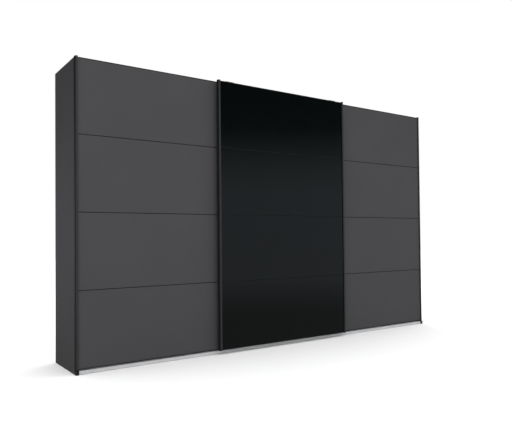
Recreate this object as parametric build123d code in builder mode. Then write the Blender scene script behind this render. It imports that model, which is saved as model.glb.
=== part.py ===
from build123d import *
import os

os.makedirs("parts", exist_ok=True)

# Sliding door wardrobe. X runs along the front, +Y to the wall, +Z up, in millimetres.
# The origin is at the middle of the footprint, on the floor. In the sizes below, x is counted
# from the left end of the carcass, d is the depth behind the foremost edge, and z is the height.

# ---- overall sizes
WIDTH = 3610.0
DEPTH = 620.0
HEIGHT = 2300.0

# ---- boards
SIDE_T = 22.0
BOARD_T = 18.0
BACK_T = 3.0
EDGE_R = 1.0
FLOOR_GAP = 3.0
BASE_H = 80.0
TRACK_DROP = 50.0
GROOVE_DEEP = 8.0
GROOVE_INSET = 10.0
FIT = 0.2
SLACK = 1.0

# ---- doors
MIDDLE_DOOR_W = 1360.0
MIDDLE_DOOR_SHIFT = -14.0
DOOR_OVERLAP = 45.0
DOOR_BOTTOM = 36.0
CAP_TOP_GAP = 4.0
CAP_UP = 6.0
CAP_DOWN = 2.5
DOOR_T = 20.0
PANEL_T = 18.0
GLASS_T = 4.0
PLANE_STEP = 50.0
CARCASS_GAP = 8.0
PANEL_COUNT = 4
JOINT_GAP = 5.0

# ---- handle strip section: u across the door from its edge, v behind the lip's front
STRIP_W = 24.0
LIP_U0 = 6.0
LIP_U1 = 20.0
LIP_OUT = 8.0
COVE_V = 12.0
COVE_BOW = (0.7, 0.55)
SLOT_U = 14.0
SKIN = 1.5
SLOT_FIT = 0.5
CHAMBER_WALL = 2.0
TRIM_OUT = 1.2
TRIM_H = 6.0
EDGE_FLANGE = 20.0
BAR_FLANGE = 24.0
JOINT_DEEP = 3.0
PANEL_CHAMFER = 0.8
PLUG_L = 10.0

# ---- top track and bottom rail
TRACK_FRONT = 2.0
TRACK_BASE = 2.5
RIB_T = 3.0
RIB_H = 7.5
RIB_FRONT = 12.0
RIB_STEP = 36.0
WALL_T = 2.0
WALL_BEHIND = 10.0
HOOD_BEFORE = 5.5
HOOD_CLEAR = 1.0
RAIL_TOP = 27.0
RAIL_T = 2.5
RAIL_FRONT_GAP = 32.0
FRONT_SLOT = 11.0
MID_WALL = 1.5
RAIL_FLANGE_TOP = 60.0
RAIL_CAP_OUT = 10.0
RAIL_CAP_TOP = 31.0

# ---- hangers, rollers and cams
HANGER_INSET = 125.0
HANGER_W = 76.0
HANGER_T = 2.5
HANGER_DROP = 50.0
DROP_BEFORE = 14.0
ROLLER_RUN_R = 9.5
ROLLER_FLANGE = 2.5
ROLLER_W = 8.0
ROLLER_GROOVE = 4.4
GROOVE_FLARE = 0.6
ROLLER_OFFSET = -17.0
CAM_OFFSET = 20.0
CAM_T = 6.0
CAM_R = 8.0
CAM_NOSE = 16.0
CAM_NOSE_W = 10.0
PIN_R = 3.0
PIN_HEAD_R = 5.0
PIN_HEAD_T = 1.5
RUNNING = 0.05
TRACK_CLEAR = 0.3
GUIDE_W = 44.0
GUIDE_T = 8.0
GUIDE_LOW = 12.0
GUIDE_CLEAR = 1.5
GUIDE_PLATE_H = 50.0
BUFFER_L = 14.0
BUFFER_H = 26.0
BUFFER_W = 16.0
BUFFER_GAP = 3.0

# ---- inside
HAT_SHELF_DROP = 290.0
SHELF_ROWS = 3
SHELF_SETBACK = 20.0
RAIL_DROP = 60.0
OVAL_W = 15.0
OVAL_H = 30.0
CLOTHES_RAIL_T = 1.2
CUP_T = 12.0
CUP_WALL = 3.0
PIN_SHELF_R = 2.5
PIN_IN = 8.0
PIN_OUT = 8.0
CAM_LOCK_R = 7.5
CAM_LOCK_T = 12.5
CAM_LOCK_EDGE = 34.0
BOLT_R = 3.5
BOLT_IN = 8.0
CONNECTOR_INSET = 60.0
GLIDE_R = 10.0
GLIDE_PIN_R = 2.0
GLIDE_PIN_L = 12.0
GLIDE_INSET = 40.0
FOOT_R = 20.0
FOOT_PAD_H = 8.0
FOOT_STEM_R = 8.0
FOOT_PLATE_R = 25.0
FOOT_PLATE_T = 4.0
JOINER_W = 24.0
JOINER_SKIN = 1.2
BRACKET_W = 40.0
BRACKET_T = 2.5
BRACKET_LEG = 40.0
BRACKET_HOLE_R = 2.75
BRACKET_X = 1200.0

# ---- worked out: depths
OUTER_LIP_D = PLANE_STEP
DOOR_BACK_V = LIP_OUT + DOOR_T
OUTER_BACK_D = OUTER_LIP_D + DOOR_BACK_V
CARCASS_D = OUTER_BACK_D + CARCASS_GAP
GROOVE_D0 = DEPTH - GROOVE_INSET - BACK_T - FIT
GROOVE_D1 = DEPTH - GROOVE_INSET
TRACK_D0 = CARCASS_D + TRACK_FRONT
RIB_D = (TRACK_D0 + RIB_FRONT, TRACK_D0 + RIB_FRONT + RIB_STEP)
TRACK_D1 = RIB_D[1] + WALL_BEHIND + WALL_T
RAIL_D0 = CARCASS_D - RAIL_FRONT_GAP
GLIDE_D = (CARCASS_D + GLIDE_INSET, DEPTH - GLIDE_INSET)

# ---- worked out: heights
CAP_TOP = HEIGHT - CAP_TOP_GAP
DOOR_TOP = CAP_TOP - CAP_UP
CARCASS_TOP = DOOR_TOP
ROOF_Z = CARCASS_TOP - TRACK_DROP
PITCH = (CAP_TOP - DOOR_BOTTOM) / PANEL_COUNT
HAT_Z = ROOF_Z - BOARD_T - HAT_SHELF_DROP
SHELF_STEP = (HAT_Z - BASE_H - SHELF_ROWS * BOARD_T) / (SHELF_ROWS + 1)
CLOTHES_RAIL_Z = HAT_Z - RAIL_DROP
ROLLER_R = ROLLER_RUN_R + ROLLER_FLANGE
RIB_TOP = ROOF_Z + TRACK_BASE + RIB_H
AXLE_Z = RIB_TOP + TRACK_CLEAR + ROLLER_RUN_R
HOOD_Z = AXLE_Z + CAM_NOSE + HOOD_CLEAR
ARM_Z = HEIGHT - HANGER_T
GUIDE_ARM_Z = RAIL_TOP + GUIDE_CLEAR

# ---- worked out: places along the front
MIDDLE_X0 = (WIDTH - MIDDLE_DOOR_W) / 2 + MIDDLE_DOOR_SHIFT
MIDDLE_X1 = MIDDLE_X0 + MIDDLE_DOOR_W
OUTER_DOOR_W = (WIDTH - MIDDLE_DOOR_W) / 2 + DOOR_OVERLAP
PARTITION_X = (MIDDLE_X0 + BOARD_T, WIDTH - MIDDLE_X0 - 2 * BOARD_T)
BAYS = {
    "left": (SIDE_T, PARTITION_X[0]),
    "middle": (PARTITION_X[0] + BOARD_T, PARTITION_X[1]),
    "right": (PARTITION_X[1] + BOARD_T, WIDTH - SIDE_T),
}
DIVIDER_X = (sum(BAYS["middle"]) - BOARD_T) / 2
CONNECTOR_D = (CARCASS_D + CONNECTOR_INSET, GROOVE_D0 - CONNECTOR_INSET)
SHELF_D = (CARCASS_D + SHELF_SETBACK, GROOVE_D0 - 2 * JOINER_SKIN - SLACK)
PIN_D = (SHELF_D[0] + CONNECTOR_INSET, SHELF_D[1] - CONNECTOR_INSET)
SHELF_BAYS = ((BAYS["middle"][0], DIVIDER_X), (DIVIDER_X + BOARD_T, BAYS["middle"][1]))
SHELF_ZS = [BASE_H + SHELF_STEP + row * (SHELF_STEP + BOARD_T) for row in range(SHELF_ROWS)]
FLOOR_Z = (BASE_H - BOARD_T, BASE_H)
ROOF_BOARD_Z = (ROOF_Z - BOARD_T, ROOF_Z)


def at(x, d):
    """Sketch position of a distance along the front and a depth."""
    return (x - WIDTH / 2, d - DEPTH / 2)


def block(x, d, z, mode=Mode.ADD):
    """A box between two places, two depths and two heights."""
    with BuildSketch(Plane.XY.offset(z[0])) as outline:
        with Locations(at((x[0] + x[1]) / 2, (d[0] + d[1]) / 2)):
            Rectangle(x[1] - x[0], d[1] - d[0])
    extrude(outline.sketch, amount=z[1] - z[0], mode=mode)


def post(x, d, z, radius, mode=Mode.ADD):
    """A round post standing at a place, between two heights."""
    with BuildSketch(Plane.XY.offset(z[0])) as outline:
        with Locations(at(x, d)):
            Circle(radius)
    extrude(outline.sketch, amount=z[1] - z[0], mode=mode)


def pin_along_x(x, d, z, radius, mode=Mode.ADD):
    """A round pin lying along the front, between two places."""
    with BuildSketch(Plane.YZ.offset(x[0] - WIDTH / 2)) as outline:
        with Locations((d - DEPTH / 2, z)):
            Circle(radius)
    extrude(outline.sketch, amount=x[1] - x[0], mode=mode)


def pin_along_y(x, d, z, radius, mode=Mode.ADD):
    """A round pin pointing to the wall, between two depths."""
    with BuildSketch(Plane.XZ.offset(DEPTH / 2 - d[0])) as outline:
        with Locations((x - WIDTH / 2, z)):
            Circle(radius)
    extrude(outline.sketch, amount=d[0] - d[1], mode=mode)


def bar(points, x, mode=Mode.ADD):
    """A bar along the front whose section is given as depth and height points."""
    with BuildSketch(Plane.YZ.offset(x[0] - WIDTH / 2)) as section:
        with BuildLine():
            Polyline([(d - DEPTH / 2, z) for d, z in points], close=True)
        make_face()
    extrude(section.sketch, amount=x[1] - x[0], mode=mode)


def finish(builder, name):
    """Labels one piece and writes it."""
    builder.part.label = name
    export_step(builder.part, f"parts/{name}.step")


# ---------------------------------------------------------------- carcass boards


def shelf_ends():
    """Each shelf end that rests on pins: the upright's face, the way into the bay, the height."""
    ends = [(face, sign, HAT_Z) for bay in BAYS.values() for face, sign in zip(bay, (1, -1))]
    for bay in SHELF_BAYS:
        ends += [(face, sign, z) for face, sign in zip(bay, (1, -1)) for z in SHELF_ZS]
    return ends


def shelf_pin_pair(face, sign, z, radius, mode=Mode.ADD):
    """The two pins of one shelf end, half in the upright and half under the shelf."""
    reach = sorted((face - sign * PIN_IN, face + sign * PIN_OUT))
    for d in PIN_D:
        pin_along_x(reach, d, z - PIN_SHELF_R - FIT / 2, radius, mode)


def upright_board(x, z, sides, name):
    """A side, partition or divider; sides lists which of its faces look into a bay."""
    with BuildPart() as board:
        block(x, (CARCASS_D, DEPTH), z)
        fillet(board.edges().filter_by(Axis.Z).group_by(Axis.Y)[0], EDGE_R)
        for sign in sides:
            face = x[1] if sign > 0 else x[0]
            groove = sorted((face, face - sign * GROOVE_DEEP))
            block(groove, (GROOVE_D0, GROOVE_D1), (FLOOR_Z[0], ROOF_Z), Mode.SUBTRACT)
            for bolt_z in (BASE_H - BOARD_T / 2, ROOF_Z - BOARD_T / 2):
                for d in CONNECTOR_D:
                    reach = sorted((face, face - sign * BOLT_IN))
                    pin_along_x(reach, d, bolt_z, BOLT_R + FIT / 2, Mode.SUBTRACT)
            for end, way, shelf_z in shelf_ends():
                if end == face and way == sign:
                    shelf_pin_pair(end, way, shelf_z, PIN_SHELF_R + FIT / 2, Mode.SUBTRACT)
        for d in GLIDE_D:
            hole = (z[0], z[0] + GLIDE_PIN_L + SLACK)
            post(sum(x) / 2, d, hole, GLIDE_PIN_R + FIT / 2, Mode.SUBTRACT)
    finish(board, name)


SIDES_X = {"left": (0, SIDE_T), "right": (WIDTH - SIDE_T, WIDTH)}
PARTITIONS_X = {side: (x, x + BOARD_T) for side, x in zip(("left", "right"), PARTITION_X)}

upright_board(SIDES_X["left"], (FLOOR_GAP, CARCASS_TOP), (1,), "side_left")
upright_board(SIDES_X["right"], (FLOOR_GAP, CARCASS_TOP), (-1,), "side_right")
for side, span in PARTITIONS_X.items():
    upright_board(span, (FLOOR_GAP, ROOF_Z), (1, -1), f"partition_{side}")


def bay_board(x, z, lock_z, groove_z):
    """A roof or floor board of one bay, with its cam pockets, bolt holes and back groove."""
    block(x, (CARCASS_D, DEPTH), z)
    block(x, (GROOVE_D0, GROOVE_D1), groove_z, Mode.SUBTRACT)
    for d in CONNECTOR_D:
        for end, sign in zip(x, (1, -1)):
            post(end + sign * CAM_LOCK_EDGE, d, lock_z, CAM_LOCK_R + FIT / 2, Mode.SUBTRACT)
            reach = sorted((end, end + sign * (CAM_LOCK_EDGE - CAM_LOCK_R)))
            pin_along_x(reach, d, sum(z) / 2, BOLT_R + FIT / 2, Mode.SUBTRACT)


FLOOR_LOCK_Z = (FLOOR_Z[0], FLOOR_Z[0] + CAM_LOCK_T)
ROOF_LOCK_Z = (ROOF_Z - CAM_LOCK_T, ROOF_Z)

with BuildPart() as floor_boards:
    for bay in BAYS.values():
        bay_board(bay, FLOOR_Z, FLOOR_LOCK_Z, (BASE_H - GROOVE_DEEP, BASE_H))
finish(floor_boards, "floor_boards")

with BuildPart() as roof_boards:
    for bay in BAYS.values():
        roof_groove = (ROOF_BOARD_Z[0], ROOF_BOARD_Z[0] + GROOVE_DEEP)
        bay_board(bay, ROOF_BOARD_Z, ROOF_LOCK_Z, roof_groove)
finish(roof_boards, "roof_boards")

with BuildPart() as plinth_boards:
    for bay in BAYS.values():
        block(bay, (CARCASS_D, CARCASS_D + BOARD_T), (FLOOR_GAP, FLOOR_Z[0]))
finish(plinth_boards, "plinth_boards")

MIDDLE_OF_BAY = sum(BAYS["middle"]) / 2
BACK_REACH = GROOVE_DEEP - SLACK
BACK_Z = (BASE_H - BACK_REACH, ROOF_BOARD_Z[0] + BACK_REACH)
BACK_SPANS = [
    (BAYS["left"][0] - BACK_REACH, BAYS["left"][1] + BACK_REACH),
    (BAYS["middle"][0] - BACK_REACH, MIDDLE_OF_BAY - JOINER_SKIN),
    (MIDDLE_OF_BAY + JOINER_SKIN, BAYS["middle"][1] + BACK_REACH),
    (BAYS["right"][0] - BACK_REACH, BAYS["right"][1] + BACK_REACH),
]
BACK_D = (GROOVE_D0 + FIT / 2, GROOVE_D0 + FIT / 2 + BACK_T)

with BuildPart() as back_panels:
    for span in BACK_SPANS:
        block(span, BACK_D, BACK_Z)
finish(back_panels, "back_panels")

with BuildPart() as back_joiner:
    joiner_x = (MIDDLE_OF_BAY - JOINER_W / 2, MIDDLE_OF_BAY + JOINER_W / 2)
    web_x = (MIDDLE_OF_BAY - JOINER_SKIN / 2, MIDDLE_OF_BAY + JOINER_SKIN / 2)
    joiner_z = (BASE_H, ROOF_BOARD_Z[0])
    block(joiner_x, (BACK_D[0] - JOINER_SKIN, BACK_D[0]), joiner_z)
    block(joiner_x, (BACK_D[1], BACK_D[1] + JOINER_SKIN), joiner_z)
    block(web_x, BACK_D, joiner_z)
finish(back_joiner, "back_joiner")

# ---------------------------------------------------------------- inside

with BuildPart() as centre_divider:
    block((DIVIDER_X, DIVIDER_X + BOARD_T), SHELF_D, (BASE_H, HAT_Z))
    fillet(centre_divider.edges().filter_by(Axis.Z).group_by(Axis.Y)[0], EDGE_R)
    for face, sign, z in shelf_ends():
        if DIVIDER_X <= face <= DIVIDER_X + BOARD_T:
            shelf_pin_pair(face, sign, z, PIN_SHELF_R + FIT / 2, Mode.SUBTRACT)
finish(centre_divider, "centre_divider")


def shelf(bay, z):
    """A loose shelf between two uprights, its front edge softened."""
    block((bay[0] + SLACK, bay[1] - SLACK), SHELF_D, (z, z + BOARD_T))


with BuildPart() as hat_shelves:
    for bay in BAYS.values():
        shelf(bay, HAT_Z)
    fillet(hat_shelves.edges().filter_by(Axis.X).group_by(Axis.Y)[0], EDGE_R)
finish(hat_shelves, "hat_shelves")

with BuildPart() as linen_shelves:
    for bay in SHELF_BAYS:
        for z in SHELF_ZS:
            shelf(bay, z)
    fillet(linen_shelves.edges().filter_by(Axis.X).group_by(Axis.Y)[0], EDGE_R)
finish(linen_shelves, "linen_shelves")

with BuildPart() as shelf_pins:
    for face, sign, z in shelf_ends():
        shelf_pin_pair(face, sign, z, PIN_SHELF_R)
finish(shelf_pins, "shelf_pins")

CLOTHES_RAIL_D = sum(SHELF_D) / 2
HANGING_BAYS = (BAYS["left"], BAYS["right"])


def oval(x, width, height, mode=Mode.ADD):
    """An upright oval bar along the front, centred on the clothes rail."""
    with BuildSketch(Plane.YZ.offset(x[0] - WIDTH / 2)) as section:
        with Locations((CLOTHES_RAIL_D - DEPTH / 2, CLOTHES_RAIL_Z)):
            SlotOverall(height, width, rotation=90)
    extrude(section.sketch, amount=x[1] - x[0], mode=mode)


with BuildPart() as clothes_rails:
    for bay in HANGING_BAYS:
        rail_x = (bay[0] + CUP_WALL, bay[1] - CUP_WALL)
        oval(rail_x, OVAL_W, OVAL_H)
        oval(rail_x, OVAL_W - 2 * CLOTHES_RAIL_T, OVAL_H - 2 * CLOTHES_RAIL_T, Mode.SUBTRACT)
finish(clothes_rails, "clothes_rails")

with BuildPart() as rail_cups:
    for bay in HANGING_BAYS:
        for face, sign in zip(bay, (1, -1)):
            cup = sorted((face, face + sign * CUP_T))
            socket = sorted((face + sign * CUP_WALL, face + sign * CUP_T))
            oval(cup, OVAL_W + 2 * CUP_WALL, OVAL_H + 2 * CUP_WALL)
            oval(socket, OVAL_W + FIT, OVAL_H + FIT, Mode.SUBTRACT)
finish(rail_cups, "rail_cups")

# ---------------------------------------------------------------- fittings of the carcass

with BuildPart() as connector_cams:
    for bay in BAYS.values():
        for face, sign in zip(bay, (1, -1)):
            for d in CONNECTOR_D:
                post(face + sign * CAM_LOCK_EDGE, d, FLOOR_LOCK_Z, CAM_LOCK_R)
                post(face + sign * CAM_LOCK_EDGE, d, ROOF_LOCK_Z, CAM_LOCK_R)
finish(connector_cams, "connector_cams")

with BuildPart() as connector_bolts:
    for bay in BAYS.values():
        for face, sign in zip(bay, (1, -1)):
            reach = (face - sign * BOLT_IN, face + sign * (CAM_LOCK_EDGE - CAM_LOCK_R - SLACK))
            for d in CONNECTOR_D:
                for z in (sum(FLOOR_Z) / 2, sum(ROOF_BOARD_Z) / 2):
                    pin_along_x(sorted(reach), d, z, BOLT_R)
finish(connector_bolts, "connector_bolts")

with BuildPart() as floor_glides:
    for x0, x1 in (*SIDES_X.values(), *PARTITIONS_X.values()):
        for d in GLIDE_D:
            post((x0 + x1) / 2, d, (0, FLOOR_GAP), GLIDE_R)
            post((x0 + x1) / 2, d, (FLOOR_GAP, FLOOR_GAP + GLIDE_PIN_L), GLIDE_PIN_R)
finish(floor_glides, "floor_glides")

with BuildPart() as support_feet:
    left_bay, middle_bay, right_bay = BAYS.values()
    third = (middle_bay[1] - middle_bay[0]) / 3
    places = (sum(left_bay) / 2, middle_bay[0] + third, middle_bay[1] - third, sum(right_bay) / 2)
    for x in places:
        post(x, (CARCASS_D + DEPTH) / 2, (0, FOOT_PAD_H), FOOT_R)
        post(x, (CARCASS_D + DEPTH) / 2, (FOOT_PAD_H, FLOOR_Z[0]), FOOT_STEM_R)
        post(x, (CARCASS_D + DEPTH) / 2, (FLOOR_Z[0] - FOOT_PLATE_T, FLOOR_Z[0]), FOOT_PLATE_R)
finish(support_feet, "support_feet")

with BuildPart() as wall_brackets:
    for x in (WIDTH / 2 - BRACKET_X, WIDTH / 2 + BRACKET_X):
        wide = (x - BRACKET_W / 2, x + BRACKET_W / 2)
        block(wide, (DEPTH - BRACKET_LEG, DEPTH), (ROOF_Z, ROOF_Z + BRACKET_T))
        block(wide, (DEPTH - BRACKET_T, DEPTH), (ROOF_Z + BRACKET_T, ROOF_Z + BRACKET_LEG))
        hole_z = ROOF_Z + BRACKET_LEG / 2 + BRACKET_T
        wall_leg = (DEPTH - BRACKET_T, DEPTH)
        pin_along_y(x, wall_leg, hole_z, BRACKET_HOLE_R, Mode.SUBTRACT)
finish(wall_brackets, "wall_brackets")

# ---------------------------------------------------------------- top track and bottom rail

TRACK_X = (SIDE_T + SLACK, WIDTH - SIDE_T - SLACK)
HOOD_TOP = HOOD_Z + WALL_T
TRACK_FLOOR = ROOF_Z + TRACK_BASE


def rect_points(d, z):
    """The four corners of an upright rectangle across the depth."""
    return [(d[0], z[0]), (d[1], z[0]), (d[1], z[1]), (d[0], z[1])]


with BuildPart() as top_track:
    bar(rect_points((TRACK_D0, TRACK_D1), (ROOF_Z, TRACK_FLOOR)), TRACK_X)
    bar(rect_points((TRACK_D0, TRACK_D0 + WALL_T), (TRACK_FLOOR, RIB_TOP)), TRACK_X)
    for rib in RIB_D:
        wall = rib + WALL_BEHIND
        bar(rect_points((rib - RIB_T / 2, rib + RIB_T / 2), (TRACK_FLOOR, RIB_TOP)), TRACK_X)
        bar(rect_points((wall, wall + WALL_T), (TRACK_FLOOR, HOOD_TOP)), TRACK_X)
        bar(rect_points((rib - HOOD_BEFORE, wall), (HOOD_Z, HOOD_TOP)), TRACK_X)
finish(top_track, "top_track")

RAIL_WALLS_D = (RAIL_D0, RAIL_D0 + RAIL_T + FRONT_SLOT)
RAIL_FLANGE_D = (CARCASS_D - RAIL_T, CARCASS_D)
RAIL_X = (SIDE_T, WIDTH - SIDE_T)

with BuildPart() as bottom_rail:
    bar(rect_points((RAIL_D0, CARCASS_D), (FLOOR_GAP, FLOOR_GAP + RAIL_T)), RAIL_X)
    bar(rect_points((RAIL_D0, RAIL_D0 + RAIL_T), (FLOOR_GAP + RAIL_T, RAIL_TOP)), RAIL_X)
    mid_wall_d = (RAIL_WALLS_D[1], RAIL_WALLS_D[1] + MID_WALL)
    bar(rect_points(mid_wall_d, (FLOOR_GAP + RAIL_T, RAIL_TOP)), RAIL_X)
    bar(rect_points(RAIL_FLANGE_D, (FLOOR_GAP + RAIL_T, RAIL_FLANGE_TOP)), RAIL_X)
    fillet(bottom_rail.edges().filter_by(Axis.X).group_by(Axis.Y)[0].sort_by(Axis.Z)[-1], EDGE_R)
finish(bottom_rail, "bottom_rail")

with BuildPart() as rail_end_caps:
    for x in ((0, SIDE_T), (WIDTH - SIDE_T, WIDTH)):
        block(x, (RAIL_D0 - RAIL_CAP_OUT, CARCASS_D), (0, RAIL_CAP_TOP))
    fillet(rail_end_caps.edges().filter_by(Axis.Z).group_by(Axis.Y)[0], 2 * EDGE_R)
finish(rail_end_caps, "rail_end_caps")

ROLLER_END_X = HANGER_INSET + ROLLER_OFFSET - ROLLER_R - BUFFER_GAP
CAM_END_X = WIDTH - HANGER_INSET + CAM_OFFSET + CAM_NOSE + BUFFER_GAP

with BuildPart() as track_buffers:
    for rib in RIB_D:
        thick = (rib - BUFFER_W / 2, rib + BUFFER_W / 2)
        for x in ((ROLLER_END_X - BUFFER_L, ROLLER_END_X), (CAM_END_X, CAM_END_X + BUFFER_L)):
            block(x, thick, (TRACK_FLOOR, TRACK_FLOOR + BUFFER_H))
            rib_d = (rib - RIB_T / 2, rib + RIB_T / 2)
            block(x, rib_d, (TRACK_FLOOR, RIB_TOP), Mode.SUBTRACT)
finish(track_buffers, "track_buffers")

# ---------------------------------------------------------------- doors

TRIM_V = LIP_OUT - TRIM_OUT
PANEL_BACK_V = LIP_OUT + PANEL_T
PANEL_U = SLOT_U + SLOT_FIT
EDGE_PANEL_U = SKIN + SLOT_FIT
TRIM_U = STRIP_W + SLOT_FIT
EDGE_TRIM_U = EDGE_FLANGE + SLOT_FIT


class Door:
    """One door: where it hangs and which of its two edges carries a handle strip."""

    def __init__(self, name, x, lip_d, strips):
        self.name = name
        self.x = x
        self.lip_d = lip_d
        self.strips = strips

    def depth(self, v0, v1):
        """Two depths, from distances behind the front of the lip."""
        return (self.lip_d + v0, self.lip_d + v1)

    def span(self, strip_u, edge_u):
        """The stretch left between the two edges, by the kind of edge at each end."""
        left = strip_u if "left" in self.strips else edge_u
        right = strip_u if "right" in self.strips else edge_u
        return (self.x[0] + left, self.x[1] - right)

    def hanger_x(self):
        """Where the two hangers and the two bottom guides are."""
        return (self.x[0] + HANGER_INSET, self.x[1] - HANGER_INSET)

    def upright(self, side, points, z, mode=Mode.ADD, arc_mid=None):
        """An upright section at one edge, from u and v points, with one optional arc."""
        edge, sign = (self.x[0], 1) if side == "left" else (self.x[1], -1)
        spots = [at(edge + sign * u, self.lip_d + v) for u, v in points]
        with BuildSketch(Plane.XY.offset(z[0])) as section:
            with BuildLine():
                if arc_mid is None:
                    Polyline(spots, close=True)
                else:
                    middle = at(edge + sign * arc_mid[0], self.lip_d + arc_mid[1])
                    ThreePointArc(spots[0], middle, spots[1])
                    Polyline(spots[1:] + spots[:1])
            make_face()
        extrude(section.sketch, amount=z[1] - z[0], mode=mode)


OUTER_X = ((0, OUTER_DOOR_W), (WIDTH - OUTER_DOOR_W, WIDTH))
LEFT = Door("left_door", OUTER_X[0], OUTER_LIP_D, ("left",))
MIDDLE = Door("middle_door", (MIDDLE_X0, MIDDLE_X1), 0.0, ("left", "right"))
RIGHT = Door("right_door", OUTER_X[1], OUTER_LIP_D, ("right",))
DOORS = (LEFT, MIDDLE, RIGHT)

COVE = ((0, COVE_V), (LIP_U0, 0))
COVE_MID = (LIP_U0 * COVE_BOW[0], COVE_V * COVE_BOW[1])
STRIP_SECTION = [
    *COVE,
    (LIP_U1, 0),
    (LIP_U1, LIP_OUT),
    (SLOT_U, LIP_OUT),
    (SLOT_U, PANEL_BACK_V),
    (STRIP_W, PANEL_BACK_V),
    (STRIP_W, DOOR_BACK_V),
    (0, DOOR_BACK_V),
]
CHAMBER = ((CHAMBER_WALL, SLOT_U - CHAMBER_WALL), (COVE_V + CHAMBER_WALL, DOOR_BACK_V - CHAMBER_WALL))
CAP_SECTION = [*COVE, (LIP_U1, 0), (LIP_U1, DOOR_BACK_V), (0, DOOR_BACK_V)]
EDGE_SECTION = [
    (0, TRIM_V),
    (TRIM_H, TRIM_V),
    (TRIM_H, LIP_OUT),
    (SKIN, LIP_OUT),
    (SKIN, PANEL_BACK_V),
    (EDGE_FLANGE, PANEL_BACK_V),
    (EDGE_FLANGE, DOOR_BACK_V),
    (0, DOOR_BACK_V),
]


def chamber_points(inset):
    """The hollow inside a handle strip, or its plug when inset."""
    (u0, u1), (v0, v1) = CHAMBER
    low = (u0 + inset, v0 + inset)
    high = (u1 - inset, v1 - inset)
    return [low, (high[0], low[1]), high, (low[0], high[1])]


def handle_strips(door):
    """The hollow handle profile on each outward edge of a door, with its projecting lip."""
    with BuildPart() as strips:
        for side in door.strips:
            door.upright(side, STRIP_SECTION, (DOOR_BOTTOM, DOOR_TOP), arc_mid=COVE_MID)
            door.upright(side, chamber_points(0), (DOOR_BOTTOM, DOOR_TOP), Mode.SUBTRACT)
    finish(strips, f"{door.name}_handle_strip")


def strip_caps(door):
    """Plastic caps that close both ends of each handle strip and plug into it."""
    with BuildPart() as caps:
        for side in door.strips:
            door.upright(side, CAP_SECTION, (DOOR_TOP, CAP_TOP), arc_mid=COVE_MID)
            door.upright(side, CAP_SECTION, (DOOR_BOTTOM - CAP_DOWN, DOOR_BOTTOM), arc_mid=COVE_MID)
            plug = chamber_points(FIT)
            door.upright(side, plug, (DOOR_TOP - PLUG_L, DOOR_TOP))
            door.upright(side, plug, (DOOR_BOTTOM, DOOR_BOTTOM + PLUG_L))
    finish(caps, f"{door.name}_strip_caps")


def edge_profile(door):
    """The slim profile on the edge of an outer door that the middle door hides."""
    side = "right" if "left" in door.strips else "left"
    with BuildPart() as profile:
        door.upright(side, EDGE_SECTION, (DOOR_BOTTOM, DOOR_TOP))
    finish(profile, f"{door.name}_edge_profile")


def joint_heights():
    """The heights of the joints between a door's panels."""
    return [DOOR_BOTTOM + PITCH * row for row in range(1, PANEL_COUNT)]


def panel_heights():
    """The low and high edge of each panel, from the bottom one up."""
    joints = joint_heights()
    lows = [DOOR_BOTTOM + SKIN + SLOT_FIT] + [z + JOINT_GAP / 2 for z in joints]
    highs = [z - JOINT_GAP / 2 for z in joints] + [DOOR_TOP - SKIN - SLOT_FIT]
    return list(zip(lows, highs))


def panels(door, v, name):
    """The four panels of a door between two distances behind the lip, edges softened."""
    with BuildPart() as leaf:
        for z in panel_heights():
            block(door.span(PANEL_U, EDGE_PANEL_U), door.depth(*v), z)
        if v[0] == LIP_OUT:
            front = leaf.faces().filter_by(Axis.Y).group_by(Axis.Y)[0]
            chamfer(front.edges(), PANEL_CHAMFER)
    finish(leaf, name)


def cross_bars(door):
    """The bars behind the joints: a web between two panels and a flange behind them."""
    with BuildPart() as bars:
        for z in joint_heights():
            web_z = (z - JOINT_GAP / 2, z + JOINT_GAP / 2)
            web_d = door.depth(LIP_OUT + JOINT_DEEP, PANEL_BACK_V)
            block(door.span(PANEL_U, EDGE_PANEL_U), web_d, web_z)
            flange_z = (z - BAR_FLANGE / 2, z + BAR_FLANGE / 2)
            block(door.span(TRIM_U, EDGE_TRIM_U), door.depth(PANEL_BACK_V, DOOR_BACK_V), flange_z)
    finish(bars, f"{door.name}_cross_bars")


def end_profiles(door):
    """The U-shaped profiles that hold the panels at the door's top and bottom."""
    x = door.span(TRIM_U, EDGE_TRIM_U)
    with BuildPart() as profiles:
        for z, way in ((DOOR_TOP, -1), (DOOR_BOTTOM, 1)):
            web = sorted((z, z + way * SKIN))
            front = sorted((z, z + way * TRIM_H))
            back = sorted((z, z + way * BAR_FLANGE))
            block(x, door.depth(TRIM_V, DOOR_BACK_V), web)
            block(x, door.depth(TRIM_V, LIP_OUT), front)
            block(x, door.depth(PANEL_BACK_V, DOOR_BACK_V), back)
    finish(profiles, f"{door.name}_end_profiles")


def pin_d(rib):
    """Where a roller ends behind its rib; the head of its pin follows."""
    return rib + ROLLER_W / 2 + FIT


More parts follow.
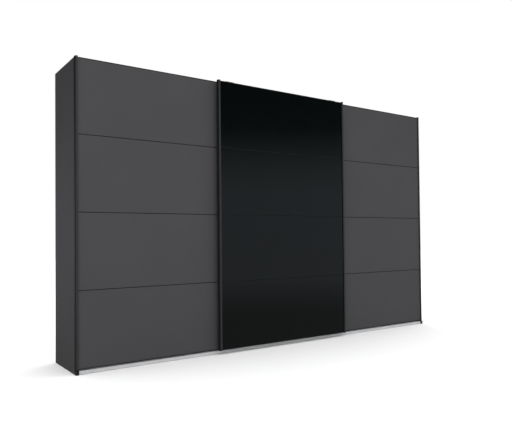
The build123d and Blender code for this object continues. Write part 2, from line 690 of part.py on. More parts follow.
def hangers(door, rib):
    """Two bent steel hangers, each with the pins of its roller and of its anti-lift cam."""
    plate_d = (door.lip_d + DOOR_BACK_V, door.lip_d + DOOR_BACK_V + HANGER_T)
    with BuildPart() as pair:
        for x in door.hanger_x():
            wide = (x - HANGER_W / 2, x + HANGER_W / 2)
            low = ROOF_Z - HANGER_DROP
            if rib == RIB_D[0]:
                last_d = plate_d
                block(wide, plate_d, (low, HOOD_Z))
            else:
                last_d = (rib - DROP_BEFORE - HANGER_T, rib - DROP_BEFORE)
                block(wide, plate_d, (low, HEIGHT))
                block(wide, (plate_d[0], last_d[1]), (ARM_Z, HEIGHT))
                block(wide, last_d, (TRACK_FLOOR + GUIDE_CLEAR, HEIGHT))
            for pin_x in (x + ROLLER_OFFSET, x + CAM_OFFSET):
                pin_along_y(pin_x, (last_d[1], pin_d(rib)), AXLE_Z, PIN_R)
                pin_along_y(pin_x, (pin_d(rib), pin_d(rib) + PIN_HEAD_T), AXLE_Z, PIN_HEAD_R)
    finish(pair, f"{door.name}_hangers")


def roller(x, rib, name):
    """A grooved roller whose groove straddles the rib, with a running fit on its pin."""
    bore = PIN_R + RUNNING
    half, foot, mouth = ROLLER_W / 2, ROLLER_GROOVE / 2, ROLLER_GROOVE / 2 + GROOVE_FLARE
    section = [
        (-half, bore),
        (-half, ROLLER_R),
        (-mouth, ROLLER_R),
        (-foot, ROLLER_RUN_R),
        (foot, ROLLER_RUN_R),
        (mouth, ROLLER_R),
        (half, ROLLER_R),
        (half, bore),
    ]
    with BuildPart() as wheel:
        with BuildSketch(Plane.YZ.offset(x - WIDTH / 2)):
            with BuildLine():
                Polyline([(rib + d - DEPTH / 2, AXLE_Z + r) for d, r in section], close=True)
            make_face()
        revolve(axis=Axis((x - WIDTH / 2, 0, AXLE_Z), (0, 1, 0)))
    finish(wheel, name)


def anti_lift_cam(x, rib, name):
    """A cam whose nose stands just under the track's hood, so that the door cannot lift off."""
    with BuildPart() as cam:
        with BuildSketch(Plane.XZ.offset(DEPTH / 2 - (rib - CAM_T / 2))):
            with Locations((x - WIDTH / 2, AXLE_Z)):
                Circle(CAM_R)
                with Locations((0, CAM_NOSE / 2)):
                    SlotOverall(CAM_NOSE, CAM_NOSE_W, rotation=90)
                Circle(PIN_R + RUNNING, mode=Mode.SUBTRACT)
        extrude(amount=-CAM_T)
    finish(cam, name)


def bottom_guides(door):
    """The fingers that keep the door's foot in its slot of the bottom rail."""
    back = door.lip_d + DOOR_BACK_V
    with BuildPart() as guides:
        for x in door.hanger_x():
            wide = (x - GUIDE_W / 2, x + GUIDE_W / 2)
            if door is MIDDLE:
                slot = RAIL_D0 + RAIL_T + FRONT_SLOT / 2
                finger = (slot - GUIDE_T / 2, slot + GUIDE_T / 2)
                arm_z = (GUIDE_ARM_Z, GUIDE_ARM_Z + HANGER_T)
                block(wide, (back, back + HANGER_T), (GUIDE_ARM_Z, GUIDE_ARM_Z + GUIDE_PLATE_H))
                block(wide, (back, finger[1]), arm_z)
                block(wide, finger, (GUIDE_LOW, GUIDE_ARM_Z))
            else:
                block(wide, (back - GUIDE_T, back), (GUIDE_LOW, DOOR_BOTTOM))
    finish(guides, f"{door.name}_guides")


for door in DOORS:
    handle_strips(door)
    strip_caps(door)
    cross_bars(door)
    end_profiles(door)
    bottom_guides(door)
    rib = RIB_D[1] if door is MIDDLE else RIB_D[0]
    hangers(door, rib)
    for end, x in zip(("left", "right"), door.hanger_x()):
        roller(x + ROLLER_OFFSET, rib, f"{door.name}_roller_{end}")
        anti_lift_cam(x + CAM_OFFSET, rib, f"{door.name}_cam_{end}")

for door in (LEFT, RIGHT):
    edge_profile(door)
    panels(door, (LIP_OUT, PANEL_BACK_V), f"{door.name}_panels")

panels(MIDDLE, (LIP_OUT, LIP_OUT + GLASS_T), "middle_door_glass")
panels(MIDDLE, (LIP_OUT + GLASS_T, PANEL_BACK_V), "middle_door_backing")
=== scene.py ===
import math

import bmesh
import bpy
from mathutils import Matrix, Vector


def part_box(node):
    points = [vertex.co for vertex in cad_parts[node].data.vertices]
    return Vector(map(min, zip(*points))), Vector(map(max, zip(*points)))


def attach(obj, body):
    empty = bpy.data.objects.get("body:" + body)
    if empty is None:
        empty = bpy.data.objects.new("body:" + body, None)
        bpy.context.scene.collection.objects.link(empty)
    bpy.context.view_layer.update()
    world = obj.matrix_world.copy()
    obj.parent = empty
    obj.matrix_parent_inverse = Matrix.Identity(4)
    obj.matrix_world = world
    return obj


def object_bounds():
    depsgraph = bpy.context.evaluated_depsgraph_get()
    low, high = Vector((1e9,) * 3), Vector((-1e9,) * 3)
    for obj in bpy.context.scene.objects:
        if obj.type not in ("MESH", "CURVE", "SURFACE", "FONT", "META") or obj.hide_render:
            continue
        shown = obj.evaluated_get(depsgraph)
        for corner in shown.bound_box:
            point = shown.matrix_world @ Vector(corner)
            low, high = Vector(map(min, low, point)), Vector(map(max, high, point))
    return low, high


# Sliding door wardrobe: finishes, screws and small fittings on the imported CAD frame, in metres.

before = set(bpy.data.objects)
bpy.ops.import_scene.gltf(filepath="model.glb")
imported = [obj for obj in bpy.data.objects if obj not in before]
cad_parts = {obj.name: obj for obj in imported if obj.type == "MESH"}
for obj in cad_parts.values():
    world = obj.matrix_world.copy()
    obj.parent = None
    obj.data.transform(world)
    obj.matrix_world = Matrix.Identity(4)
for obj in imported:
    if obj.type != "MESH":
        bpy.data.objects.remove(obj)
CAD_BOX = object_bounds()
DOORS = ("left_door", "middle_door", "right_door")

# ---- the photograph's camera, seen from the lower front left corner of the wardrobe
EYE = Vector((-1.134, -4.309, 0.949))
YAW, PITCH, ROLL = 39.21, 1.23, -0.71
LENS, SENSOR = 40.29, 36.0
SHIFT = (-0.160, 0.015)

# ---- studio
FLOOR_SIZE = 60.0
WHITE = (1.0, 1.0, 1.0)
SKY = (1.28, 1.28, 1.29)
FLOOR_COLOUR = (0.965, 0.965, 0.96)
# the dim glow that glossy rays see in place of the floor, a painted reflection: darker near the middle,
# lighter far off
FLOOR_GLOW_NEAR = (0.175, 0.195, 0.195)
FLOOR_GLOW_FAR = (0.34, 0.375, 0.41)
FLOOR_FADE = (2.5, 9.0)
GLOSS_SKY = [
    (-0.20, (0.34, 0.375, 0.41)),
    (0.08, (0.34, 0.38, 0.42)),
    (0.12, (0.27, 0.31, 0.32)),
    (0.19, (0.05, 0.07, 0.07)),
    (0.40, (0.004, 0.007, 0.005)),
]
SOFTBOXES = {
    "key_light": {"at": (-1.0, -7.5, 4.2), "aim": (0.0, 0.0, 1.0), "size": (4.0, 2.4), "power": 25.0},
    "top_light": {"at": (0.4, -1.5, 5.5), "aim": (0.0, 0.0, 0.0), "size": (4.0, 2.5), "power": 20.0},
    "back_light": {"at": (3.0, 6.0, 3.6), "aim": (0.0, 0.0, 1.1), "size": (3.0, 2.4), "power": 30.0},
}

# ---- directions of extrusion, as pattern scales, and the lip's share of a handle strip's depth
ALONG_X = (0.01, 1.0, 1.0)
ALONG_Z = (1.0, 1.0, 0.01)
LIP_SHARE = 0.34

# ---- sizes of the CAD sheet metal that the screws stand on
HANGER_SHEET = 0.0025
TRACK_SHEET = 0.0025
RAIL_SHEET = 0.0025
BRACKET_SHEET = 0.0025

# ---- screws and fittings
WELD = 1e-6
SCREW_R = 0.0034
SCREW_H = 0.0014
SCREW_SIDES = 32
SCREW_RINGS = [
    (0.14, 1.0),
    (0.28, 0.98),
    (0.42, 0.94),
    (0.56, 0.88),
    (0.68, 0.80),
    (0.84, 0.58),
    (0.95, 0.28),
]
CROSS_REACH = 0.62
CROSS_WIDTH = 0.16
CROSS_DEPTH = 0.55
CAM_HEAD_R = 0.0062
CAM_HEAD_H = 0.0006
BRACKET_SCREW_R = 0.0042
TRACK_SCREW_H = 0.0008
HANGER_SCREW_INSET = 0.012
HANGER_SCREW_RISES = (0.010, 0.034)
GUIDE_SCREW_INSET = 0.010
GUIDE_SCREW_DROP = 0.012
TRACK_MIDDLE = 0.0382
TRACK_SCREW_INSET = 0.08
TRACK_SCREW_STEP = 0.40
RAIL_SCREW_DROP = 0.010
RAIL_SCREW_INSET = 0.07
RAIL_SCREW_STEP = 0.45
BRACKET_SCREW_INSET = 0.010
BRACKET_SCREW_DEPTH = 0.012
FLUSH = 1e-4

# ---- threads and nut on a support foot
THREAD_ROOT_R = 0.0081
THREAD_CREST_R = 0.0089
THREAD_PITCH = 0.0025
THREAD_START = 0.009
THREAD_END_MARGIN = 0.0045
THREAD_SIDES = 24
NUT_PROFILE = [(0.0135, 0.0170), (0.0150, 0.0180), (0.0150, 0.0240), (0.0135, 0.0250)]
NUT_SIDES = 6


# ---------------------------------------------------------------- finishes


class Finish:
    """A procedural material in the making: one Principled shader and the nodes that drive it."""

    def __init__(self, name, **fixed):
        self.material = bpy.data.materials.new(name)
        self.material.use_nodes = True
        self.tree = self.material.node_tree
        self.shader = self.tree.nodes["Principled BSDF"]
        for socket, value in fixed.items():
            self.shader.inputs[socket.replace("_", " ").title()].default_value = value
        self.place = self.tree.nodes.new("ShaderNodeTexCoord").outputs["Object"]

    def node(self, kind, inputs, **settings):
        """A node with its settings; each input is a number, a colour or another node's socket."""
        made = self.tree.nodes.new(kind)
        for key, value in settings.items():
            setattr(made, key, value)
        for socket, value in inputs.items():
            if isinstance(value, bpy.types.NodeSocket):
                self.tree.links.new(value, made.inputs[socket])
            else:
                made.inputs[socket].default_value = value
        return made

    def stretched(self, factors):
        """Coordinates scaled by one factor an axis, for patterns that run along the object."""
        return self.node("ShaderNodeMapping", {"Vector": self.place, "Scale": factors}).outputs[0]

    def noise(self, scale, detail=3.0, along=None, distortion=0.0):
        """Noise with that many features a metre; along gives an axis of its own scale factors."""
        vector = self.stretched(along) if along else self.place
        inputs = {"Vector": vector, "Scale": scale, "Detail": detail, "Distortion": distortion}
        return self.node("ShaderNodeTexNoise", inputs).outputs[0]

    def cells(self, scale):
        """Distance to the nearest of scattered points."""
        inputs = {"Vector": self.place, "Scale": scale}
        return self.node("ShaderNodeTexVoronoi", inputs).outputs["Distance"]

    def threads(self, axis, pitch, wander):
        """Regular threads across one axis, a little uneven."""
        scale = math.tau / 20.0 / pitch
        inputs = {"Vector": self.place, "Scale": scale, "Distortion": wander, "Detail Scale": 1.5}
        made = self.node("ShaderNodeTexWave", inputs, wave_type="BANDS", bands_direction=axis)
        return made.outputs["Fac"]

    def total(self, *weighted):
        """The weighted sum of several sockets."""
        made = None
        for socket, weight in weighted:
            inputs = {0: socket, 1: weight, 2: 0.0 if made is None else made}
            made = self.node("ShaderNodeMath", inputs, operation="MULTIPLY_ADD").outputs[0]
        return made

    def between(self, factor, low, high, start=0.25, end=0.75):
        """A number that goes from low to high as the factor goes from start to end."""
        inputs = {"Value": factor, "From Min": start, "From Max": end, "To Min": low, "To Max": high}
        return self.node("ShaderNodeMapRange", inputs).outputs["Result"]

    def mix(self, factor, first, second):
        """A colour between two colours."""
        inputs = {"Fac": factor, "Color1": first, "Color2": second}
        return self.node("ShaderNodeMixRGB", inputs).outputs[0]

    def tone(self, factor, colour, amount):
        """The colour, darker and lighter by that share as the factor goes from 0.25 to 0.75."""
        dark = (*(c * (1.0 - amount) for c in colour), 1.0)
        light = (*(c * (1.0 + amount) for c in colour), 1.0)
        return self.mix(self.between(factor, 0.0, 1.0), dark, light)

    def facing(self, axis):
        """How far the surface faces along one axis of the frame, from -1 to 1."""
        normal = self.node("ShaderNodeNewGeometry", {}).outputs["Normal"]
        return self.node("ShaderNodeSeparateXYZ", {"Vector": normal}).outputs[axis]

    def bump(self, height, distance):
        """Relief of that height in metres."""
        inputs = {"Height": height, "Distance": distance, "Strength": 1.0}
        return self.node("ShaderNodeBump", inputs).outputs[0]

    def drive(self, **sockets):
        """Links node outputs to the shader's inputs and returns the material."""
        for socket, value in sockets.items():
            self.tree.links.new(value, self.shader.inputs[socket.replace("_", " ").title()])
        return self.material


def melamine(name, colour):
    """Matt melamine board: fine pores under faint clouds."""
    finish = Finish(name)
    clouds = finish.noise(2.2, detail=4.0)
    speckle = finish.noise(900.0, detail=2.0)
    pores = finish.cells(650.0)
    mottle = finish.total((clouds, 0.5), (speckle, 0.3), (pores, 0.35))
    relief = finish.total((pores, 0.7), (speckle, 0.3))
    return finish.drive(
        base_color=finish.tone(mottle, colour, 0.09),
        roughness=finish.between(speckle, 0.46, 0.62),
        normal=finish.bump(relief, 0.00006),
    )


def side_board(name, outside, inside):
    """Side panel: graphite melamine outside and on its edges, printed like the interior inside."""
    finish = Finish(name)
    speckle = finish.noise(900.0, detail=2.0)
    pores = finish.cells(650.0)
    mottle = finish.total((finish.noise(2.2, detail=4.0), 0.5), (speckle, 0.3), (pores, 0.35))
    weave = finish.total((finish.threads("Y", 0.0019, 2.5), 0.5), (finish.threads("Z", 0.0022, 2.5), 0.5))
    across = finish.node("ShaderNodeSeparateXYZ", {"Vector": finish.place}).outputs["X"]
    sideways = finish.facing("X")
    outward = finish.node("ShaderNodeMath", {0: sideways, 1: across}, operation="MULTIPLY").outputs[0]
    inner = finish.between(outward, 1.0, 0.0, start=-1.0, end=-0.5)
    graphite, print_tone = finish.tone(mottle, outside, 0.09), finish.tone(weave, inside, 0.12)
    return finish.drive(
        base_color=finish.mix(inner, graphite, print_tone),
        roughness=finish.between(speckle, 0.46, 0.62),
        normal=finish.bump(finish.total((pores, 0.7), (speckle, 0.3)), 0.00006),
    )


def textile_print(name, colour):
    """Melamine board printed with a linen weave, as inside such wardrobes."""
    finish = Finish(name)
    weave = finish.total(
        (finish.threads("X", 0.0022, 2.5), 0.33),
        (finish.threads("Y", 0.0019, 2.5), 0.33),
        (finish.threads("Z", 0.0022, 2.5), 0.33),
    )
    slubs = finish.noise(260.0, detail=3.0, along=(1.0, 1.0, 0.12))
    clouds = finish.noise(3.0, detail=3.0)
    print_tone = finish.total((weave, 0.5), (slubs, 0.3), (clouds, 0.2))
    return finish.drive(
        base_color=finish.tone(print_tone, colour, 0.22),
        roughness=finish.between(slubs, 0.42, 0.58),
        normal=finish.bump(weave, 0.00008),
    )


def anodised(name, colour, along, metal, rough):
    """Anodised aluminium profile: fine die lines along its length, under a satin skin."""
    finish = Finish(name, metallic=metal)
    lines = finish.noise(1600.0, detail=3.0, along=along)
    broad = finish.noise(160.0, detail=2.0, along=along)
    patina = finish.noise(9.0, detail=4.0)
    streaks = finish.total((lines, 0.5), (broad, 0.3), (patina, 0.2))
    return finish.drive(
        base_color=finish.tone(streaks, colour, 0.16),
        roughness=finish.between(streaks, rough - 0.08, rough + 0.10),
        normal=finish.bump(lines, 0.00003),
    )


def handle_finish(name, body, lip):
    """Anodised handle strip: a dark graphite body, partly painted shade, and a painted highlight making the
    lip that hands pull lighter.
    """
    finish = Finish(name, metallic=0.30)
    lines = finish.noise(1600.0, detail=3.0, along=ALONG_Z)
    handling = finish.noise(14.0, detail=4.0)
    streaks = finish.total((lines, 0.6), (handling, 0.4))
    depth = finish.node("ShaderNodeTexCoord", {}).outputs["Generated"]
    behind_lip = finish.node("ShaderNodeSeparateXYZ", {"Vector": depth}).outputs["Y"]
    # painted highlight: the front share of the strip's depth, the lip, is mixed towards the lighter lip
    # colour; the rest keeps the dark body colour, partly painted shade
    painted_highlight_share = finish.between(behind_lip, 1.0, 0.0, start=0.02, end=LIP_SHARE)
    dark, light = finish.tone(streaks, body, 0.18), finish.tone(streaks, lip, 0.18)
    return finish.drive(
        base_color=finish.mix(painted_highlight_share, dark, light),
        roughness=finish.between(streaks, 0.30, 0.50),
        normal=finish.bump(lines, 0.00003),
    )


def moulded(name, colour, rough=0.45, grain=0.00005):
    """Moulded plastic with a spark-eroded grain and faint flow marks."""
    finish = Finish(name)
    grain_noise = finish.noise(2200.0, detail=2.0)
    flow = finish.noise(35.0, detail=3.0, distortion=1.2)
    return finish.drive(
        base_color=finish.tone(finish.total((grain_noise, 0.5), (flow, 0.5)), colour, 0.15),
        roughness=finish.between(flow, rough - 0.07, rough + 0.09),
        normal=finish.bump(grain_noise, grain),
    )


def plated(name, colour, spangle, rough):
    """Plated or galvanised metal: crystal patches, faint tarnish and hairline scratches."""
    finish = Finish(name, metallic=0.85)
    crystals = finish.cells(spangle)
    tarnish = finish.noise(40.0, detail=4.0)
    scratches = finish.noise(900.0, detail=2.0, along=(1.0, 0.15, 1.0))
    patches = finish.total((crystals, 0.4), (tarnish, 0.4), (scratches, 0.2))
    return finish.drive(
        base_color=finish.tone(patches, colour, 0.18),
        roughness=finish.between(patches, rough - 0.08, rough + 0.14),
        normal=finish.bump(scratches, 0.00002),
    )


def lacquered_glass(name, lacquer, edge):
    """Black lacquer behind clear float glass: deep and glossy, greener where the edges are cut."""
    finish = Finish(name)
    sideways = finish.node("ShaderNodeMath", {0: finish.facing("Y")}, operation="ABSOLUTE").outputs[0]
    cut = finish.between(sideways, 1.0, 0.0, start=0.80, end=0.98)
    smears = finish.noise(7.0, detail=5.0, distortion=0.8)
    depth = finish.tone(smears, lacquer, 0.25)
    ripple = finish.noise(1.6, detail=1.0)
    return finish.drive(
        base_color=finish.mix(cut, depth, (*edge, 1.0)),
        roughness=finish.between(smears, 0.015, 0.075),
        normal=finish.bump(ripple, 0.00025),
    )


def back_board(name, inside, outside):
    """Thin fibreboard: printed linen inside, pressed wood fibres outside."""
    finish = Finish(name)
    fibres = finish.noise(420.0, detail=5.0, distortion=2.0)
    chips = finish.noise(90.0, detail=4.0, distortion=0.6)
    clouds = finish.noise(4.0, detail=3.0)
    raw = finish.tone(finish.total((fibres, 0.5), (chips, 0.3), (clouds, 0.2)), outside, 0.32)
    weave = finish.total((finish.threads("X", 0.0022, 2.5), 0.5), (finish.threads("Z", 0.0022, 2.5), 0.5))
    printed = finish.tone(weave, inside, 0.12)
    to_wall = finish.between(finish.facing("Y"), 0.0, 1.0, start=-0.1, end=0.1)
    return finish.drive(
        base_color=finish.mix(to_wall, printed, raw),
        roughness=finish.between(fibres, 0.55, 0.85),
        normal=finish.bump(finish.total((fibres, 0.7), (chips, 0.3)), 0.00010),
    )


def chipboard(name, colour):
    """Black-dyed chipboard behind the glass, with its flakes just showing."""
    finish = Finish(name)
    flakes = finish.cells(230.0)
    dust = finish.noise(700.0, detail=3.0)
    return finish.drive(
        base_color=finish.tone(finish.total((flakes, 0.6), (dust, 0.4)), colour, 0.35),
        roughness=finish.between(dust, 0.62, 0.85),
        normal=finish.bump(flakes, 0.00012),
    )


def rubber(name, colour):
    """Soft rubber with a chalky bloom."""
    finish = Finish(name)
    bloom = finish.noise(120.0, detail=5.0)
    skin = finish.noise(1500.0, detail=2.0)
    return finish.drive(
        base_color=finish.tone(bloom, colour, 0.35),
        roughness=finish.between(bloom, 0.65, 0.90),
        normal=finish.bump(skin, 0.00008),
    )


INTERIOR_PRINT = (0.330, 0.312, 0.285)
# the handle strip's body colour is dark graphite, partly painted shade; its lip colour is a painted highlight
STRIP_BODY_AND_SHADE = (0.0065, 0.0065, 0.0070)
STRIP_LIP_HIGHLIGHT = (0.034, 0.034, 0.036)
FINISHES = {
    "side_decor": side_board("graphite_side_decor", (0.0398, 0.0328, 0.0346), INTERIOR_PRINT),
    "front_decor": melamine("graphite_front_decor", (0.0485, 0.0468, 0.0500)),
    "inner_decor": textile_print("textile_print_decor", INTERIOR_PRINT),
    "backing_board": chipboard("black_chipboard", (0.0050, 0.0050, 0.0055)),
    "back_board": back_board("fibreboard_back", INTERIOR_PRINT, (0.215, 0.150, 0.095)),
    "black_glass": lacquered_glass("black_lacquered_glass", (0.0006, 0.0008, 0.0008), (0.006, 0.016, 0.013)),
    "handle_aluminium": handle_finish("graphite_anodised_strip", STRIP_BODY_AND_SHADE, STRIP_LIP_HIGHLIGHT),
    "profile_aluminium": anodised("graphite_anodised_profile", (0.0100, 0.0100, 0.0106), ALONG_X, 0.30, 0.46),
    "rail_aluminium": anodised("silver_anodised_rail", (0.560, 0.560, 0.570), ALONG_X, 0.20, 0.40),
    "black_plastic": moulded("black_cap_plastic", (0.0075, 0.0075, 0.0080)),
    "guide_plastic": moulded("grey_guide_acetal", (0.300, 0.300, 0.295), rough=0.34),
    "cam_plastic": moulded("red_cam_plastic", (0.270, 0.012, 0.010), rough=0.38),
    "roller_plastic": moulded("white_roller_acetal", (0.620, 0.620, 0.590), rough=0.30, grain=0.00002),
    "foot_plastic": moulded("black_foot_plastic", (0.0090, 0.0090, 0.0090), rough=0.50),
    "joiner_plastic": moulded("grey_joiner_plastic", (0.400, 0.385, 0.350), rough=0.42),
    "guide_steel": plated("zinc_guide_steel", (0.50, 0.50, 0.52), 240.0, 0.34),
    "zinc_steel": plated("zinc_hanger_steel", (0.52, 0.52, 0.54), 200.0, 0.32),
    "fitting_steel": plated("zinc_fitting_steel", (0.54, 0.54, 0.56), 300.0, 0.30),
    "cast_zinc": plated("nickel_cast_zinc", (0.50, 0.49, 0.47), 500.0, 0.36),
    "rail_steel": plated("chromed_rail_steel", (0.62, 0.62, 0.63), 900.0, 0.14),
    "buffer_rubber": rubber("black_buffer_rubber", (0.0110, 0.0110, 0.0110)),
}


def wear(obj, slot):
    """Gives an object the finish of a material slot of the record."""
    obj.data.materials.clear()
    obj.data.materials.append(FINISHES[slot])


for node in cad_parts.values():
    wear(node, node.data.materials[0].name)


# ---------------------------------------------------------------- fittings


def solids(node):
    """The box of each separate solid of a CAD node, from left to right."""
    mesh = bmesh.new()
    mesh.from_mesh(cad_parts[node].data)
    bmesh.ops.remove_doubles(mesh, verts=mesh.verts, dist=WELD)
    boxes, seen = [], set()
    for start in mesh.verts:
        if start in seen:
            continue
        seen.add(start)
        edge_of_search, points = [start], []
        while edge_of_search:
            vert = edge_of_search.pop()
            points.append(vert.co.copy())
            for edge in vert.link_edges:
                other = edge.other_vert(vert)
                if other not in seen:
                    seen.add(other)
                    edge_of_search.append(other)
        boxes.append((Vector(map(min, zip(*points))), Vector(map(max, zip(*points)))))
    mesh.free()
    return sorted(boxes, key=lambda box: tuple(box[0]))


def piece(name, mesh, body, slot):
    """A finished mesh as a named piece that rides on a body and wears a slot's finish."""
    bmesh.ops.recalc_face_normals(mesh, faces=mesh.faces)
    data = bpy.data.meshes.new(name)
    mesh.to_mesh(data)
    mesh.free()
    obj = bpy.data.objects.new(name, data)
    bpy.context.scene.collection.objects.link(obj)
    wear(obj, slot)
    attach(obj, body)


def turned_to(facing):
    """The rotation that turns +Z to the way a piece faces."""
    return Vector((0, 0, 1)).rotation_difference(Vector(facing)).to_matrix()


def screw_height(x, y, height, share):
    """A screw head's height over a point given in shares of its radius, with its cross recess."""
    in_cross = min(abs(x), abs(y)) < CROSS_WIDTH and math.hypot(x, y) < CROSS_REACH
    return height * share * ((1.0 - CROSS_DEPTH) if in_cross else 1.0)


def screw_heads(name, places, facing, body, slot, radius=SCREW_R, height=SCREW_H):
    """Domed screw heads with a cross recess, standing on their places."""
    mesh = bmesh.new()
    turn = turned_to(facing)
    for place in places:
        centre = mesh.verts.new(Vector(place) + turn @ Vector((0, 0, height * (1.0 - CROSS_DEPTH))))
        rings = []
        for share, level in [*SCREW_RINGS, (1.0, 0.0)]:
            ring = []
            for side in range(SCREW_SIDES):
                angle = math.tau * side / SCREW_SIDES
                x, y = share * math.cos(angle), share * math.sin(angle)
                spot = Vector((x * radius, y * radius, screw_height(x, y, height, level)))
                ring.append(mesh.verts.new(Vector(place) + turn @ spot))
            rings.append(ring)
        for side in range(SCREW_SIDES):
            following = (side + 1) % SCREW_SIDES
            mesh.faces.new((centre, rings[0][side], rings[0][following]))
            for inner, outer in zip(rings, rings[1:]):
                mesh.faces.new((inner[side], outer[side], outer[following], inner[following]))
        mesh.faces.new(rings[-1])
    piece(name, mesh, body, slot)


def lathe(mesh, centre, profile, sides):
    """Adds a closed turned shape with an upright axis, from its radii and heights, bottom first."""
    rings = []
    for radius, height in profile:
        ring = []
        for side in range(sides):
            angle = math.tau * side / sides
            spot = Vector((radius * math.cos(angle), radius * math.sin(angle), height))
            ring.append(mesh.verts.new(centre + spot))
        rings.append(ring)
    for lower, upper in zip(rings, rings[1:]):
        for side in range(sides):
            following = (side + 1) % sides
            mesh.faces.new((lower[side], lower[following], upper[following], upper[side]))
    mesh.faces.new(rings[0])
    mesh.faces.new(rings[-1])


def hanger_screws(door):
    """Four screws through each hanger's plate into the door."""
    places = []
    for low, high in solids(f"{door}_hangers"):
        for x in (low.x + HANGER_SCREW_INSET, high.x - HANGER_SCREW_INSET):
            for rise in HANGER_SCREW_RISES:
                places.append((x, low.y + HANGER_SHEET, low.z + rise))
    screw_heads(f"{door}_hanger_screws", places, (0, 1, 0), door, "zinc_steel")


def guide_screws():
    """Two screws through the plate of each bottom guide of the middle door."""
    places = []
    for low, high in solids("middle_door_guides"):
        for x in (low.x + GUIDE_SCREW_INSET, high.x - GUIDE_SCREW_INSET):
            places.append((x, low.y + HANGER_SHEET, high.z - GUIDE_SCREW_DROP))
    screw_heads("middle_door_guide_screws", places, (0, 1, 0), "middle_door", "guide_steel")


def evenly(first, last, longest_step):
    """Places from first to last, both included, no further apart than the longest step."""
    steps = math.ceil((last - first) / longest_step)
    return [first + (last - first) * step / steps for step in range(steps + 1)]


def track_screws():
    """Screws along the floor of the top track, between its two running ribs."""
    low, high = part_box("top_track")
    spots = evenly(low.x + TRACK_SCREW_INSET, high.x - TRACK_SCREW_INSET, TRACK_SCREW_STEP)
    places = [(x, low.y + TRACK_MIDDLE, low.z + TRACK_SHEET) for x in spots]
    screw_heads("top_track_screws", places, (0, 0, 1), "carcass", "fitting_steel", height=TRACK_SCREW_H)


def rail_screws():
    """Screws through the rear flange of the bottom rail into the plinth."""
    low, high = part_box("bottom_rail")
    spots = evenly(low.x + RAIL_SCREW_INSET, high.x - RAIL_SCREW_INSET, RAIL_SCREW_STEP)
    places = [(x, high.y - RAIL_SHEET, high.z - RAIL_SCREW_DROP) for x in spots]
    screw_heads("bottom_rail_screws", places, (0, -1, 0), "carcass", "fitting_steel")


def bracket_screws():
    """Two screws down into the roof board for each wall bracket."""
    places = []
    for low, high in solids("wall_brackets"):
        for x in (low.x + BRACKET_SCREW_INSET, high.x - BRACKET_SCREW_INSET):
            places.append((x, low.y + BRACKET_SCREW_DEPTH, low.z + BRACKET_SHEET))
    screw_heads("wall_bracket_screws", places, (0, 0, 1), "carcass", "fitting_steel", radius=BRACKET_SCREW_R)


def roof_cam_heads():
    """The cross-slotted faces of the connector cams in the roof boards."""
    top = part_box("roof_boards")[1].z
    places = []
    for low, high in solids("connector_cams"):
        if high.z > top - FLUSH:
            places.append(((low.x + high.x) / 2, (low.y + high.y) / 2, high.z))
    screw_heads(
        "roof_cam_heads", places, (0, 0, 1), "carcass", "cast_zinc", radius=CAM_HEAD_R, height=CAM_HEAD_H
    )


def foot_threads():
    """Rolled threads and an adjusting nut on the stem of each support foot."""
    threads, nuts = bmesh.new(), bmesh.new()
    for low, high in solids("support_feet"):
        centre = Vector(((low.x + high.x) / 2, (low.y + high.y) / 2, low.z))
        turns = int((high.z - THREAD_END_MARGIN - THREAD_START) / THREAD_PITCH)
        profile = [(THREAD_ROOT_R, THREAD_START)]
        for turn in range(turns):
            profile.append((THREAD_CREST_R, THREAD_START + (turn + 0.5) * THREAD_PITCH))
            profile.append((THREAD_ROOT_R, THREAD_START + (turn + 1) * THREAD_PITCH))
        lathe(threads, centre, profile, THREAD_SIDES)
        lathe(nuts, centre, NUT_PROFILE, NUT_SIDES)
    piece("support_foot_threads", threads, "carcass", "foot_plastic")
    piece("support_foot_nuts", nuts, "carcass", "foot_plastic")


for door_name in DOORS:
    hanger_screws(door_name)
guide_screws()
track_screws()
rail_screws()
bracket_screws()
roof_cam_heads()
foot_threads()

# ---------------------------------------------------------------- studio


def studio_floor():
    """A plain pale matt floor, which every glossy ray sees instead as a dim painted glow, darker near the
    middle.
    """
    mesh = bmesh.new()
    bmesh.ops.create_grid(mesh, x_segments=4, y_segments=4, size=FLOOR_SIZE / 2)
    data = bpy.data.meshes.new("studio_floor")
    mesh.to_mesh(data)
    mesh.free()
    obj = bpy.data.objects.new("studio_floor", data)
    bpy.context.scene.collection.objects.link(obj)
    finish = Finish("pale_floor", roughness=0.9)
    dust = finish.noise(30.0, detail=3.0)
    finish.drive(base_color=finish.tone(dust, FLOOR_COLOUR, 0.01))
    far = finish.node("ShaderNodeVectorMath", {0: finish.place}, operation="LENGTH").outputs["Value"]
    fade = finish.between(far, 0.0, 1.0, *FLOOR_FADE)
    shade = finish.mix(fade, (*FLOOR_GLOW_NEAR, 1.0), (*FLOOR_GLOW_FAR, 1.0))
    # painted reflection: glossy rays see this glow in place of the lit floor
    painted_glow = finish.node("ShaderNodeEmission", {"Color": shade}).outputs[0]
    finish.shader.inputs["Specular IOR Level"].default_value = 0.0
    mirrored = finish.node("ShaderNodeLightPath", {}).outputs["Is Glossy Ray"]
    shown = finish.node("ShaderNodeMixShader", {0: mirrored, 1: finish.shader.outputs[0], 2: painted_glow})
    output = finish.tree.nodes["Material Output"]
    finish.tree.links.new(shown.outputs[0], output.inputs["Surface"])
    data.materials.append(finish.material)


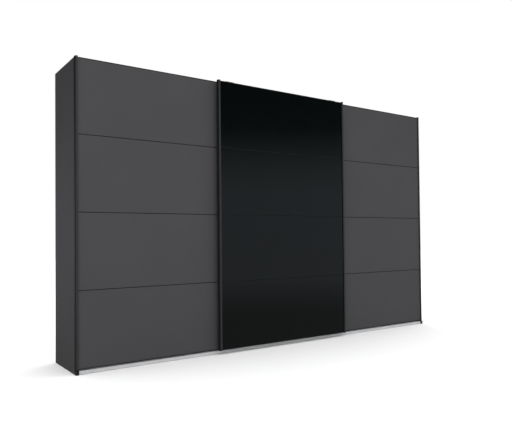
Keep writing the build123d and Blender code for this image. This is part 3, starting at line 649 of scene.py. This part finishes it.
def studio_sky():
    """White to the camera, a dim room to every glossy ray, and SKY's even light to all other rays."""
    world = bpy.data.worlds.new("studio")
    bpy.context.scene.world = world
    world.use_nodes = True
    nodes, links = world.node_tree.nodes, world.node_tree.links
    background = nodes["Background"]
    path = nodes.new("ShaderNodeLightPath")
    direction = nodes.new("ShaderNodeTexCoord")
    height = nodes.new("ShaderNodeSeparateXYZ")
    links.new(direction.outputs["Generated"], height.inputs[0])
    share = nodes.new("ShaderNodeMapRange")
    share.inputs["From Min"].default_value = GLOSS_SKY[0][0]
    share.inputs["From Max"].default_value = GLOSS_SKY[-1][0]
    links.new(height.outputs["Z"], share.inputs["Value"])
    ramp = nodes.new("ShaderNodeValToRGB")
    links.new(share.outputs["Result"], ramp.inputs["Fac"])
    lowest, highest = GLOSS_SKY[0][0], GLOSS_SKY[-1][0]
    while len(ramp.color_ramp.elements) < len(GLOSS_SKY):
        ramp.color_ramp.elements.new(0.5)
    for element, (level, colour) in zip(ramp.color_ramp.elements, GLOSS_SKY):
        element.position = (level - lowest) / (highest - lowest)
        element.color = (*colour, 1.0)
    glossy = nodes.new("ShaderNodeMixRGB")
    glossy.inputs["Color1"].default_value = (*SKY, 1.0)
    links.new(path.outputs["Is Glossy Ray"], glossy.inputs["Fac"])
    links.new(ramp.outputs["Color"], glossy.inputs["Color2"])
    seen = nodes.new("ShaderNodeMixRGB")
    seen.inputs["Color2"].default_value = (*WHITE, 1.0)
    links.new(path.outputs["Is Camera Ray"], seen.inputs["Fac"])
    links.new(glossy.outputs["Color"], seen.inputs["Color1"])
    links.new(seen.outputs["Color"], background.inputs["Color"])


def aimed(obj, place, target):
    """Puts a light at a place and points it at a target."""
    way = Vector(target) - Vector(place)
    obj.matrix_world = Matrix.Translation(place) @ way.to_track_quat("-Z", "Y").to_matrix().to_4x4()


def softbox(name, at, aim, size, power):
    """A large soft area light."""
    light = bpy.data.lights.new(name, "AREA")
    light.shape = "RECTANGLE"
    light.size, light.size_y = size
    light.energy = power
    obj = bpy.data.objects.new(name, light)
    bpy.context.scene.collection.objects.link(obj)
    aimed(obj, at, aim)


def photograph_camera():
    """The camera at the photograph's place, with its small shift."""
    data = bpy.data.cameras.new("camera")
    data.lens, data.sensor_width = LENS, SENSOR
    data.shift_x, data.shift_y = SHIFT
    obj = bpy.data.objects.new("camera", data)
    bpy.context.scene.collection.objects.link(obj)
    turn = (
        Matrix.Rotation(math.radians(-YAW), 4, "Z")
        @ Matrix.Rotation(math.radians(90.0 + PITCH), 4, "X")
        @ Matrix.Rotation(math.radians(ROLL), 4, "Z")
    )
    obj.matrix_world = Matrix.Translation(CAD_BOX[0] + EYE) @ turn
    bpy.context.scene.camera = obj


studio_floor()
studio_sky()
for light_name, facts in SOFTBOXES.items():
    softbox(light_name, **facts)
photograph_camera()
bpy.context.scene.view_settings.view_transform = "Standard"
